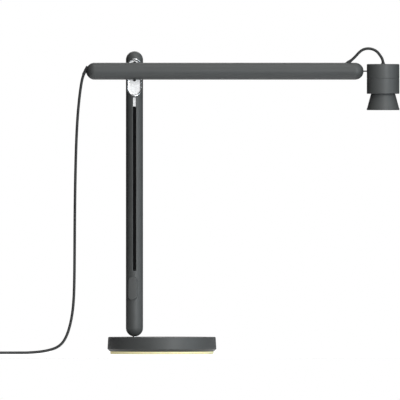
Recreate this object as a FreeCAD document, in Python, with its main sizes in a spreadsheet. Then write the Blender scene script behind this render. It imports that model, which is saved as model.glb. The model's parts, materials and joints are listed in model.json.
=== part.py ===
import FreeCAD, Part
import Sketcher
import math
import os

# Swing arm desk lamp: a round weighted base, a round column that turns on it, a level arm on a sprung
# elbow, and a small LED head that rolls on a thin axle at the arm's tip. Millimetres, +Z up, +X from the
# column towards the head, -Y out of the side that carries the arm. The origin is the middle of the foot
# pad's lower face.

doc = FreeCAD.newDocument("desk_lamp")
Vec = FreeCAD.Vector

# ---------------------------------------------------------------- driving dimensions
SIZES = {
    "base_top_radius": 88.7,        # top edge of the round base
    "base_skirt_radius": 89.9,      # widest line, just above the bottom bevel
    "base_height": 28.0,
    "base_skirt_level": 8.3,        # where the bottom bevel starts
    "base_lip_radius": 86.0,        # foot of the bottom bevel
    "base_roof": 4.0,
    "base_cavity_radius": 84.0,
    "ballast_floor": 2.5,           # ballast left under the swivel's well
    "pad_radius": 85.4,
    "pad_thickness": 4.2,
    "base_screw_circle": 60.0,      # radius of the ring of base screws
    "column_offset": 45.3,          # column axis to the middle of the base
    "column_radius": 14.15,
    "column_wall": 1.8,
    "column_low": 42.9,             # centre of the lower dome
    "column_high": 485.6,           # centre of the upper dome
    "spindle_radius": 3.0,
    "spindle_neck": 2.5,
    "running_gap": 0.05,            # radial clearance of a shaft in its bush
    "pivot_level": 466.6,           # elbow and arm height
    "cup_half_width": 12.0,
    "cup_low": 425.7,
    "cup_high": 487.4,
    "cup_floor": 6.5,               # how far the cup's floor lies in front of the column axis
    "cup_back": 1.5,
    "cup_rim": 0.9,
    "cup_round": 2.4,
    "screw_spread": 13.8,           # cup screws above and below the elbow
    "slot_width": 4.8,
    "slot_low": 137.6,
    "slot_high": 423.4,
    "anchor_drop": 2.6,             # anchor screw below the slot's lower end
    "lead_side": 8.3,               # dimmer lead beside the column axis
    "lead_back": 6.0,               # dimmer lead behind the column axis
    "arm_radius": 14.0,
    "arm_wall": 1.8,
    "arm_gap": 2.4,                 # arm to column
    "arm_left": 65.6,               # column axis to the centre of the arm's left dome
    "arm_right": 364.0,             # column axis to the centre of the arm's right dome
    "hub_radius": 9.0,
    "bush_flange": 0.6,             # the bush's flange keeps the hub off the cup
    "shaft_radius": 4.0,
    "lead_bore": 1.6,
    "crank_throw": 7.5,
    "crank_pin_radius": 1.5,
    "crank_radius": 10.4,
    "rod_radius": 2.5,
    "strut_radius": 7.0,
    "strut_bore": 5.6,
    "strut_setback": 3.7,           # strut axis behind the column axis
    "strut_top": 408.6,
    "guide_top": 423.6,
    "guide_half_width": 6.0,
    "guide_front": 8.0,             # flat front of the strut's guide, in front of the column axis
    "guide_back": 10.2,
    "strut_low": 142.0,
    "spring_turns": 15.0,
    "spring_wire": 1.4,
    "spring_low": 304.0,
    "spring_high": 402.0,
    "button_half_width": 7.2,
    "button_length": 38.5,
    "button_level": 108.2,
    "button_proud": 1.25,           # at the middle of the button
    "button_crown": 60.0,           # radius of the button's nearly flat face
    "button_azimuth": 13.0,         # degrees from straight ahead
    "button_travel": 1.2,
    "head_offset": 410.2,           # column axis to head axis
    "head_radius": 26.9,
    "head_low": 429.3,
    "head_seam": 454.6,
    "head_high": 478.3,
    "head_wall": 2.3,
    "shade_neck_radius": 20.2,
    "shade_rim_radius": 27.0,
    "shade_low": 402.4,
    "shade_wall": 1.4,
    "lens_level": 414.5,
    "axle_radius": 1.1,
    "cord_radius": 2.25,
    "coil_middle": 25.25,           # middle radius of the put-away coil
    "coil_x": 306.0,                # coil centre, left of the origin
    "coil_y": 20.0,                 # coil centre, in front of the origin
}


class Dim:
    """A length: its value, and the sheet expression that gives it."""

    def __init__(self, value, text):
        self.value = float(value)
        self.text = text

    def __add__(self, other):
        other = dim(other)
        return Dim(self.value + other.value, f"({self.text} + {other.text})")

    def __sub__(self, other):
        other = dim(other)
        return Dim(self.value - other.value, f"({self.text} - {other.text})")

    def __mul__(self, other):
        other = dim(other)
        return Dim(self.value * other.value, f"({self.text} * {other.text})")

    def __neg__(self):
        return Dim(-self.value, f"(-1 * {self.text})")

    __radd__ = __add__
    __rmul__ = __mul__

    def __rsub__(self, other):
        return dim(other) - self


def dim(value):
    """The value as a Dim: a plain number becomes one with a constant expression."""
    if isinstance(value, Dim):
        return value
    return Dim(value, f"({float(value)!r})")


def make_sheet():
    """The spreadsheet of driving dimensions, and a Dim for each of its cells."""
    sheet = doc.addObject("Spreadsheet::Sheet", "Sizes")
    cells = {}
    for row, (alias, number) in enumerate(SIZES.items(), 1):
        sheet.set(f"A{row}", alias)
        sheet.set(f"B{row}", str(number))
        sheet.setAlias(f"B{row}", alias)
        cells[alias] = Dim(number, f"Sizes.{alias}")
    doc.recompute()
    return cells


size = make_sheet()
pieces = []                         # every sub-part, in the order made

# ---------------------------------------------------------------- places worked out from the sheet
column_x = -size["column_offset"]
pivot_z = size["pivot_level"]
arm_y = -(size["column_radius"] + size["arm_gap"] + size["arm_radius"])
arm_left_x = column_x - size["arm_left"]
arm_right_x = column_x + size["arm_right"]
head_x = column_x + size["head_offset"]
column_bore = size["column_radius"] - size["column_wall"]
arm_bore = size["arm_radius"] - size["arm_wall"]
strut_y = size["strut_setback"]
roof_under = size["base_height"] - size["base_roof"]
anchor_z = size["slot_low"] - size["anchor_drop"]

ALONG_X = FreeCAD.Rotation(Vec(0, 1, 0), 90)
ALONG_Y = FreeCAD.Rotation(Vec(1, 0, 0), -90)
ALONG_Z = FreeCAD.Rotation()
HALF_TURN = FreeCAD.Rotation(Vec(0, 0, 1), 180)      # puts a ball's seam on its -X side


# ---------------------------------------------------------------- building blocks
def bind(obj, prop, value):
    """Ties one property to the sheet."""
    value = dim(value)
    setattr(obj, prop, value.value)
    obj.setExpression(prop, value.text)


def place(obj, x, y, z, turn=ALONG_Z):
    """Puts an object at a point worked out from the sheet."""
    spot = [dim(x), dim(y), dim(z)]
    obj.Placement = FreeCAD.Placement(Vec(*(d.value for d in spot)), turn)
    for axis, d in zip("xyz", spot):
        obj.setExpression("Placement.Base." + axis, d.text)
    return obj


def keep(obj):
    """Marks an object as a sub-part of the lamp."""
    pieces.append(obj)
    return obj


def cylinder(name, radius, length, x, y, z, turn=ALONG_Z):
    obj = doc.addObject("Part::Cylinder", name)
    bind(obj, "Radius", radius)
    bind(obj, "Height", length)
    return place(obj, x, y, z, turn)


def block(name, low, high):
    """A box between two corners."""
    obj = doc.addObject("Part::Box", name)
    for prop, a, b in zip(("Length", "Width", "Height"), low, high):
        bind(obj, prop, dim(b) - a)
    return place(obj, *low)


def ball(name, radius, x, y, z, turn=ALONG_Z):
    obj = doc.addObject("Part::Sphere", name)
    bind(obj, "Radius", radius)
    return place(obj, x, y, z, turn)


def nut(name, across_corners, length, x, y, z, turn=ALONG_Z):
    obj = doc.addObject("Part::Prism", name)
    obj.Polygon = 6
    bind(obj, "Circumradius", across_corners)
    bind(obj, "Height", length)
    return place(obj, x, y, z, turn)


def join(name, *shapes):
    obj = doc.addObject("Part::MultiFuse", name)
    obj.Shapes = list(shapes)
    return obj


def common(name, base, tool):
    obj = doc.addObject("Part::Common", name)
    obj.Base = base
    obj.Tool = tool
    return obj


def cut(name, base, *tools):
    """A base with one or more tools taken out of it."""
    tool = tools[0] if len(tools) == 1 else join(name + "_tools", *tools)
    obj = doc.addObject("Part::Cut", name)
    obj.Base = base
    obj.Tool = tool
    return obj


def turned(name, outline, x, y, z, turn=ALONG_Z):
    """A lathe-turned body: a closed outline of (radius, height) points, spun round the upright axis."""
    body = doc.addObject("PartDesign::Body", name)
    plane = next(f for f in body.Origin.OriginFeatures if f.Role == "XZ_Plane")
    sketch = body.newObject("Sketcher::SketchObject", name + "_profile")
    sketch.AttachmentSupport = [(plane, "")]
    sketch.MapMode = "FlatFace"
    spots = [(dim(r), dim(h)) for r, h in outline]
    ends = [Vec(r.value, h.value, 0) for r, h in spots]
    count = len(ends)
    for i in range(count):
        sketch.addGeometry(Part.LineSegment(ends[i], ends[(i + 1) % count]), False)
    for i in range(count):
        sketch.addConstraint(Sketcher.Constraint("Coincident", i, 2, (i + 1) % count, 1))
    for i, (r, h) in enumerate(spots):
        for kind, d, axis in (("DistanceX", r, -2), ("DistanceY", h, -1)):
            if abs(d.value) < 1e-9:
                sketch.addConstraint(Sketcher.Constraint("PointOnObject", i, 1, axis))
                continue
            number = sketch.addConstraint(Sketcher.Constraint(kind, -1, 1, i, 1, d.value))
            sketch.setExpression(f"Constraints[{number}]", d.text)
    spin = body.newObject("PartDesign::Revolution", name + "_spin")
    spin.Profile = sketch
    spin.ReferenceAxis = (sketch, ["V_Axis"])
    spin.Angle = 360
    body.Tip = spin
    return place(body, x, y, z, turn)


def ring(name, outer, inner, length, x, y, z, turn=ALONG_Z):
    """A plain ring or bush."""
    return turned(name, [(inner, 0), (outer, 0), (outer, length), (inner, length)], x, y, z, turn)


def slot_bar(name, half_width, low, high, front, back, x):
    """A bar of round-ended upright section, running from front to back along Y."""
    straight = block(name + "_middle", (x - half_width, front, low + half_width),
                     (x + half_width, back, high - half_width))
    ends = [
        cylinder(f"{name}_end{i}", half_width, back - front, x, front, level, ALONG_Y)
        for i, level in enumerate((low + half_width, high - half_width))
    ]
    bar = join(name, straight, *ends)
    bar.Refine = True
    return bar


def aim(name, radius, far_radius, length, tip, way):
    """A straight or tapered round bar that starts at a point and runs a given way."""
    if abs(far_radius - radius) < 1e-9:
        solid = Part.makeCylinder(radius, length, Vec(*tip), Vec(*way))
    else:
        solid = Part.makeCone(radius, far_radius, length, Vec(*tip), Vec(*way))
    obj = doc.addObject("Part::Feature", name)
    obj.Shape = solid
    return obj


def cord_tube(name, route, radius):
    """A round tube along straight runs joined by tangent arcs, each as large as its two runs allow."""
    share = 0.45
    points = [Vec(*p) for p in route]
    edges = []
    start = points[0]
    radii = []
    for before, corner, after in zip(points, points[1:], points[2:]):
        inward = (corner - before).normalize()
        outward = (after - corner).normalize()
        turn = inward.getAngle(outward)
        reach = share * min(corner.distanceToPoint(before), corner.distanceToPoint(after))
        radii.append(reach / math.tan(turn / 2))
        enter = corner - inward * reach
        leave = corner + outward * reach
        rise = radii[-1] / math.cos(turn / 2) - radii[-1]
        middle = corner + (outward - inward).normalize() * rise
        edges.append(Part.LineSegment(start, enter).toShape())
        edges.append(Part.Arc(enter, middle, leave).toShape())
        start = leave
    edges.append(Part.LineSegment(start, points[-1]).toShape())
    path = Part.Wire(edges)
    first = (points[1] - points[0]).normalize()
    section = Part.Wire([Part.Circle(points[0], first, radius).toShape()])
    obj = doc.addObject("Part::Feature", name)
    obj.Shape = path.makePipeShell([section], True, False)
    share_of_sweep = obj.Shape.Volume / (math.pi * radius ** 2 * path.Length)
    print(f"{name}: length {path.Length:.1f}, volume/sweep {share_of_sweep:.4f}, radii",
          " ".join(f"{r:.0f}" for r in radii))
    return obj


# ---------------------------------------------------------------- base
def make_base():
    top, low = size["base_height"], size["base_lip_radius"]
    shell = turned("base_shell", [
        (size["base_cavity_radius"], size["pad_thickness"]),
        (low, size["pad_thickness"]),
        (size["base_skirt_radius"], size["base_skirt_level"]),
        (size["base_top_radius"] + 0.05, top - 1.0),
        (size["base_top_radius"] - 0.9, top),
        (0, top),
        (0, roof_under),
        (size["base_cavity_radius"], roof_under),
    ], 0, 0, 0)
    around = [math.radians(a) for a in (30, 150, 270)]
    spots = [(size["base_screw_circle"] * math.cos(a), size["base_screw_circle"] * math.sin(a))
             for a in around]
    boss_low = roof_under - 4.0
    screw_radius, head_radius, head_depth = 2.0, 3.9, 2.0
    bosses = [cylinder(f"base_boss{i}", 6.0, 4.5, x, y, boss_low) for i, (x, y) in enumerate(spots)]
    taps = [cylinder(f"base_tap{i}", screw_radius, 3.2, x, y, boss_low) for i, (x, y) in enumerate(spots)]
    bush_hole = cylinder("base_bush_hole", 7.0, 10.0, column_x, 0, roof_under - 1.0)
    keep(cut("base_cover", join("base_shell_bossed", shell, *bosses), bush_hole, *taps))

    under = size["pad_thickness"]
    slab = turned("ballast_blank", [
        (0, under), (size["base_cavity_radius"] - 0.3, under),
        (size["base_cavity_radius"] - 0.3, boss_low), (0, boss_low),
    ], 0, 0, 0)
    seats = [cylinder(f"ballast_seat{i}", head_radius, head_depth, x, y, under)
             for i, (x, y) in enumerate(spots)]
    holes = [cylinder(f"ballast_hole{i}", screw_radius + 0.2, 20.0, x, y, under)
             for i, (x, y) in enumerate(spots)]
    well = cylinder("ballast_well", 13.0, 20.0, column_x, 0, under + size["ballast_floor"])
    keep(cut("ballast_plate", slab, well, *seats, *holes))

    bevel = 0.8
    keep(turned("foot_pad", [
        (0, 0), (size["pad_radius"] - bevel, 0), (size["pad_radius"], bevel),
        (size["pad_radius"], size["pad_thickness"]), (0, size["pad_thickness"]),
    ], 0, 0, 0))

    solids = []
    for i, (x, y) in enumerate(spots):
        shank = boss_low + 3.0 - size["pad_thickness"] - head_depth
        solids.append(turned(f"base_screw{i}", [
            (0, 0.9), (2.0, 0.9), (2.0, 0), (head_radius - 0.1, 0), (head_radius - 0.1, head_depth),
            (screw_radius, head_depth), (screw_radius, shank + head_depth), (0, shank + head_depth),
        ], x, y, size["pad_thickness"]))
    keep(join("base_screws", *solids))


def make_swivel():
    """The bush in the base's roof and the spindle that carries the column."""
    bush_low = roof_under - 6.0
    collar_low = size["base_height"] - 1.5
    collar_high, stud_low = collar_low + 1.2, 10.0
    depth = size["base_height"] - bush_low
    keep(turned("swivel_bush", [
        (size["spindle_radius"] + size["running_gap"], 0), (10.0, 0), (10.0, 6.0), (7.0, 6.0),
        (7.0, depth), (5.4, depth), (5.4, depth - 1.5),
        (size["spindle_radius"] + size["running_gap"], depth - 1.5),
    ], column_x, 0, bush_low))
    keep(turned("swivel_spindle", [
        (0, 0),
        (size["spindle_radius"], 0),
        (size["spindle_radius"], collar_low - stud_low),
        (5.0, collar_low - stud_low),
        (5.0, collar_high - stud_low),
        (size["spindle_neck"], collar_high - stud_low),
        (size["spindle_neck"], 48.0),
        (0, 48.0),
    ], column_x, 0, stud_low))
    keep(ring("swivel_washer", 6.5, size["spindle_radius"] + 0.1, 0.8, column_x, 0, bush_low - 0.8))
    blank = nut("swivel_nut_blank", 5.8, 4.6, column_x, 0, bush_low - 5.4)
    keep(cut("swivel_nut", blank, cylinder("swivel_nut_thread", size["spindle_radius"], 6.0, column_x, 0,
                                           bush_low - 6.0)))


# ---------------------------------------------------------------- column
def pocket_bar(name):
    """The space that the cup takes out of the column's front."""
    return slot_bar(name, size["cup_half_width"], size["cup_low"], size["cup_high"], -20.0,
                    -size["cup_back"], column_x)


def button_bar(name, grow, near, far):
    """A round-ended bar on the button's own line, grown a little all round, between two depths."""
    half = size["button_half_width"].value + grow
    length = size["button_length"].value + 2 * grow
    level = size["button_level"].value
    corner = Vec(-half, near, level - length / 2 + half)
    solid = Part.makeBox(2 * half, far - near, length - 2 * half, corner)
    for end in (level - length / 2 + half, level + length / 2 - half):
        solid = solid.fuse(Part.makeCylinder(half, far - near, Vec(0, near, end), Vec(0, 1, 0)))
    obj = doc.addObject("Part::Feature", name)
    obj.Shape = solid.removeSplitter()
    turn = FreeCAD.Rotation(Vec(0, 0, 1), -size["button_azimuth"].value)
    obj.Placement = FreeCAD.Placement(Vec(column_x.value, 0, 0), turn)
    return obj


def make_column():
    span = size["column_high"] - size["column_low"]
    wall = ring("column_blank", size["column_radius"], column_bore, span, column_x, 0, size["column_low"])
    slot = block("column_slot", (column_x - size["slot_width"] * 0.5, -20.0, size["slot_low"]),
                 (column_x + size["slot_width"] * 0.5, -8.0, size["slot_high"]))
    bevel_half = size["slot_width"] * 0.5 + 0.9
    bevel = block("column_slot_bevel", (0, 0, 0), (bevel_half * math.sqrt(2), bevel_half * math.sqrt(2),
                                                   size["slot_high"] - size["slot_low"] + 0.8))
    place(bevel, column_x, -size["column_radius"] - bevel_half + 0.1, size["slot_low"] - 0.8,
          FreeCAD.Rotation(Vec(0, 0, 1), 45))
    hole = button_bar("column_button_hole", 0.3, -20.0, -6.0)
    screw_holes = cylinder("column_anchor_hole", 2.0, 10.0, column_x, 8.0, anchor_z, ALONG_Y)
    keep(cut("column_tube", wall, pocket_bar("column_pocket"), slot, bevel, hole, screw_holes))

    dome = common("crown_dome", ball("crown_ball", size["column_radius"], column_x, 0, size["column_high"]),
                  cylinder("crown_keep", 20.0, 20.0, column_x, 0, size["column_high"]))
    plug = cylinder("crown_plug", column_bore, 7.0, column_x, 0, size["column_high"] - 7.0)
    tap = cylinder("crown_tap", 1.6, 9.0, column_x, -2.0, pivot_z + size["screw_spread"], ALONG_Y)
    keep(cut("column_crown", join("crown_blank", dome, plug), pocket_bar("crown_pocket"), tap))

    half = common("foot_dome", ball("foot_ball", size["column_radius"], column_x, 0, size["column_low"]),
                  cylinder("foot_keep", 20.0, 20.0, column_x, 0, size["column_low"] - 20.0))
    spigot = cylinder("foot_spigot", column_bore, 19.0, column_x, 0, size["column_low"])
    bore = cylinder("foot_bore", size["spindle_neck"], 33.0, column_x, 0, 25.0)
    keep(cut("column_foot", join("foot_blank", half, spigot), bore))


def make_cup():
    """The polished dish in the column's front, which holds the elbow's bush."""
    outer = slot_bar("cup_bar", size["cup_half_width"], size["cup_low"], size["cup_high"],
                     -20.0, -size["cup_back"], column_x)
    barrel = cylinder("cup_barrel", size["column_radius"], 100.0, column_x, 0, size["column_high"] - 100.0)
    cap = ball("cup_cap", size["column_radius"], column_x, 0, size["column_high"])
    blank = common("cup_blank", outer, join("cup_envelope", barrel, cap))
    rim = size["cup_rim"]
    dish = slot_bar("cup_dish_bar", size["cup_half_width"] - rim, size["cup_low"] + rim,
                    size["cup_high"] - rim, -25.0, -size["cup_floor"], column_x)
    doc.recompute()
    floor_edges = [i for i, edge in enumerate(dish.Shape.Edges, 1)
                   if all(abs(v.Y + size["cup_floor"].value) < 1e-6 for v in edge.Vertexes)]
    rounded = doc.addObject("Part::Fillet", "cup_dish")
    rounded.Base = dish
    round_off = size["cup_round"].value
    rounded.Edges = [(i, round_off, round_off) for i in floor_edges]
    holes = [cylinder("cup_bush_hole", 6.0, 10.0, column_x, -10.0, pivot_z, ALONG_Y)]
    for i, way in enumerate((-1, 1)):
        level = pivot_z + size["screw_spread"] * way
        holes.append(cylinder(f"cup_screw_hole{i}", 1.6, 10.0, column_x, -10.0, level, ALONG_Y))
    keep(cut("pivot_cup", blank, rounded, *holes))

    screws = []
    head_length, head_radius = 1.9, 2.75
    for i, way in enumerate((-1, 1)):
        shank = 11.0 if way > 0 else 7.6
        solid = turned(f"cup_screw{i}", [
            (0, 0.9), (1.2, 0.9), (1.2, 0), (head_radius - 0.5, 0), (head_radius, 0.5),
            (head_radius, head_length), (1.6, head_length),
            (1.6, head_length + shank), (0, head_length + shank),
        ], column_x, -size["cup_floor"] - head_length, pivot_z + size["screw_spread"] * way, ALONG_Y)
        screws.append(solid)
    keep(join("cup_screws", *screws))

    level = pivot_z - size["screw_spread"]
    plate = common("nut_plate_blank",
                   block("nut_plate_bar", (column_x - 13.0, -size["cup_back"], level - 3.2),
                         (column_x + 13.0, 1.0, level + 2.6)),
                   cylinder("nut_plate_round", column_bore, 20.0, column_x, 0, level - 10.0))
    keep(cut("nut_plate", plate, cylinder("nut_plate_tap", 1.6, 10.0, column_x, -5.0, level, ALONG_Y)))

    bore, flange = size["shaft_radius"] + size["running_gap"], size["bush_flange"]
    depth = size["cup_floor"] - size["cup_back"] + flange
    keep(turned("elbow_bush", [
        (bore, 0), (8.6, 0), (8.6, flange), (6.0, flange), (6.0, depth), (bore, depth),
    ], column_x, -size["cup_floor"] - flange, pivot_z, ALONG_Y))


# ---------------------------------------------------------------- balance strut
def make_strut():
    low, top = size["strut_low"], size["strut_top"]
    stud, shoulder, plug_top, below = 2.5, 14.0, 22.0, 17.0
    open_end = top - low + below
    keep(turned("strut_barrel", [
        (0, 0), (stud, 0), (stud, shoulder), (size["strut_radius"], shoulder),
        (size["strut_radius"], open_end), (size["strut_bore"], open_end),
        (size["strut_bore"], plug_top), (0, plug_top),
    ], column_x, strut_y, low - below))
    half, spring_top = size["guide_half_width"], size["spring_high"]
    spigot = cylinder("guide_spigot", size["strut_bore"], top - spring_top + 2.0, column_x, strut_y,
                      spring_top)
    head = block("guide_head", (column_x - half, -size["guide_front"], top),
                 (column_x + half, size["guide_back"], size["guide_top"]))
    bore = cylinder("guide_bore", size["rod_radius"] + size["running_gap"], 30.0, column_x, strut_y,
                    spring_top - 2.0)
    keep(cut("strut_guide", join("guide_blank", spigot, head), bore))
    anchor = cylinder("anchor_blank", column_bore, 8.0, column_x, 0, low - 11.0)
    stud_hole = cylinder("anchor_stud_hole", stud, 20.0, column_x, strut_y, low - 20.0)
    lead_hole = cylinder("anchor_lead_hole", 1.2, 20.0, column_x + size["lead_side"], size["lead_back"],
                         low - 20.0)
    tap = cylinder("anchor_tap", 2.0, 10.0, column_x, 8.0, anchor_z, ALONG_Y)
    keep(cut("strut_anchor", anchor, stud_hole, lead_hole, tap))
    keep(cylinder("anchor_screw", 2.0, column_bore - 8.0 + 1.2, column_x, 8.0, anchor_z, ALONG_Y))
    nut_blank = nut("strut_nut_blank", 4.6, 4.0, column_x, strut_y, low - 15.0)
    nut_thread = cylinder("strut_nut_thread", stud, 8.0, column_x, strut_y, low - 17.0)
    keep(cut("strut_nut", nut_blank, nut_thread))

    rod_low = size["spring_low"] - 6.0
    keep(cylinder("strut_rod", size["rod_radius"], 440.0 - rod_low, column_x, strut_y, rod_low))
    keep(ring("strut_piston", size["strut_bore"] - 0.1, size["rod_radius"], 4.0, column_x, strut_y,
              size["spring_low"] - 4.0))
    make_spring()
    make_yoke()


def make_spring():
    """The coil spring between the piston and the guide."""
    wire = size["spring_wire"].value / 2
    radius = 4.4
    low = size["spring_low"].value + wire + 0.05
    high = size["spring_high"].value - wire - 0.05
    helix = Part.makeHelix((high - low) / size["spring_turns"].value, high - low, radius)
    start = helix.Edges[0].valueAt(helix.Edges[0].FirstParameter)
    way = helix.Edges[0].tangentAt(helix.Edges[0].FirstParameter)
    section = Part.Wire([Part.Circle(start, way, wire).toShape()])
    obj = doc.addObject("Part::Feature", "balance_spring")
    obj.Shape = Part.Wire(helix.Edges).makePipeShell([section], True, True)
    obj.Placement = FreeCAD.Placement(Vec(column_x.value, strut_y.value, low), FreeCAD.Rotation())
    keep(obj)


def make_yoke():
    """The slotted plate on the rod, which the crank pin moves up and down."""
    front, back = strut_y - 1.7, strut_y + 1.7
    throw, pin = size["crank_throw"], size["crank_pin_radius"]
    frame = block("yoke_frame", (column_x - 10.4, front, 440.5), (column_x - 2.3, back, pivot_z + 4.4))
    foot = block("yoke_foot", (column_x - 4.0, front, 438.0), (column_x + 3.2, back, 446.0))
    boss = cylinder("yoke_boss", 4.2, 12.0, column_x, strut_y, 431.0)
    travel = 0.35 * throw
    window = block("yoke_window", (column_x - throw - pin - 0.3, front - 1.0, pivot_z - pin - 0.45),
                   (column_x - throw + travel + pin + 0.45, back + 1.0, pivot_z + pin + 0.45))
    bore = cylinder("yoke_bore", size["rod_radius"], 12.0, column_x, strut_y, 428.0)
    keep(cut("rod_yoke", join("yoke_blank", frame, foot, boss), window, bore))


# ---------------------------------------------------------------- dimmer button
def make_dimmer():
    turn = FreeCAD.Rotation(Vec(0, 0, 1), -size["button_azimuth"].value)
    crown_back = size["button_crown"] - size["column_radius"] - size["button_proud"]
    middle = turn.multVec(Vec(0, crown_back.value, 0))
    shaft_bar = button_bar("button_stem", 0, -20.0, -9.0)
    round_out = cylinder("button_round", size["button_crown"], 60.0, column_x + middle.x, middle.y, 80.0)
    face = common("button_face", shaft_bar, round_out)
    flange = common("button_flange", button_bar("button_flange_bar", 1.2, -15.0, -9.0),
                    cylinder("button_flange_round", column_bore - 0.3, 60.0, column_x, 0, 80.0))
    button = join("button_blank", face, flange)
    button.Refine = True
    doc.recompute()
    keep(soften_button(button))

    level = size["button_level"]
    dome = turned("button_dome", [(0, 0), (4.5, 0), (4.5, 1.2), (3.0, 4.7), (0, 4.7)], 0, 0, 0)
    board = block("dimmer_board", (0, 0, 0), (17.0, 1.6, 37.0))
    carrier = block("carrier_bar", (0, 0, 0), (17.0, 3.0, 40.0))
    for obj, shift_x, shift_y, shift_z, extra in (
        (dome, 0.0, -4.2, 0.0, ALONG_Y.inverted()),
        (board, -8.5, -4.2, -21.0, ALONG_Z),
        (carrier, -8.5, -2.6, -23.0, ALONG_Z),
    ):
        spot = turn.multVec(Vec(shift_x, shift_y, shift_z))
        place(obj, column_x + spot.x, spot.y, level + spot.z, turn.multiply(extra))
    keep(dome)
    keep(board)
    keep(common("board_carrier", carrier,
                cylinder("carrier_round", column_bore, 60.0, column_x, 0, level - 30.0)))


def soften_button(button):
    """Rounds the button's outer edge."""
    reach = size["column_radius"].value + 0.6
    edges = []
    for i, edge in enumerate(button.Shape.Edges, 1):
        ends = [edge.valueAt(p) for p in (edge.FirstParameter, edge.LastParameter)]
        middle = edge.valueAt((edge.FirstParameter + edge.LastParameter) / 2)
        if all(math.hypot(v.x - column_x.value, v.y) > reach for v in ends + [middle]):
            edges.append((i, 0.9, 0.9))
    soft = doc.addObject("Part::Fillet", "dimmer_button")
    soft.Base = button
    soft.Edges = edges
    return soft


# ---------------------------------------------------------------- elbow
def make_elbow():
    hub_front = arm_y + 10.0
    hub_back = -size["cup_floor"] - size["bush_flange"]
    keep(ring("elbow_hub", size["hub_radius"], size["shaft_radius"], hub_back - hub_front,
              column_x, hub_front, pivot_z, ALONG_Y))
    front = arm_y - 8.0
    crank_front, crank_back = -1.2, 1.6
    shaft = turned("shaft_blank", [
        (size["lead_bore"], 0), (size["shaft_radius"], 0), (size["shaft_radius"], crank_front - front),
        (size["crank_radius"], crank_front - front), (size["crank_radius"], crank_back - front),
        (size["lead_bore"], crank_back - front),
    ], column_x, front, pivot_z, ALONG_Y)
    pin = cylinder("crank_pin", size["crank_pin_radius"], 6.8, column_x - size["crank_throw"], crank_front,
                   pivot_z, ALONG_Y)
    keep(join("elbow_shaft", shaft, pin))
    plug = cylinder("core_plug", arm_bore, 32.0, column_x - 16.0, arm_y, pivot_z, ALONG_X)
    channel = block("core_channel", (column_x - 20.0, arm_y - 13.0, pivot_z + 7.2),
                    (column_x + 20.0, arm_y + 13.0, pivot_z + 13.0))
    hub_hole = cylinder("core_hub_hole", size["hub_radius"], 30.0, column_x, hub_front, pivot_z, ALONG_Y)
    shaft_hole = cylinder("core_shaft_hole", size["shaft_radius"], 40.0, column_x, arm_y - 20.0,
                          pivot_z, ALONG_Y)
    grub_radius, grub_y = 2.0, (arm_y - 5.0, arm_y + 5.0)
    grub_low = pivot_z - 12.9
    grub_holes = [cylinder(f"core_grub_hole{i}", grub_radius, 11.0, column_x, y, grub_low - 2.0)
                  for i, y in enumerate(grub_y)]
    keep(cut("arm_core", plug, channel, hub_hole, shaft_hole, *grub_holes))
    grubs = [cylinder(f"elbow_grub{i}", grub_radius, 8.4, column_x, y, grub_low)
             for i, y in enumerate(grub_y)]
    grub_limit = cylinder("grub_limit", size["shaft_radius"], 40.0, column_x, arm_y - 20.0,
                          pivot_z, ALONG_Y)
    keep(cut("elbow_grubs", join("grubs_blank", *grubs), grub_limit))


# ---------------------------------------------------------------- arm
POWER_WAY = Vec(-0.50, 0, -0.866).normalize()    # the way the power cord leaves the left dome
LOOP_WAY = Vec(0.80, 0, 0.60).normalize()        # the way the loop cord leaves the arm's top
gland_length = 7.0
power_exit = Vec(arm_left_x.value - 14.5, arm_y.value, pivot_z.value + 1.5)
loop_exit = Vec(arm_right_x.value - 9.0, arm_y.value, pivot_z.value + 15.8)


def gland(name, tip, way):
    """A short rubber sleeve that tapers to the cord."""
    start = tip - way * gland_length
    return aim(name, 3.0, 2.6, gland_length, start, way)


def cord_way(name, tip, way):
    """The groove that lets the cord leave the arm without touching it."""
    return aim(name, size["cord_radius"].value + 0.35, size["cord_radius"].value + 0.35, 12.0, tip, way)


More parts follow.
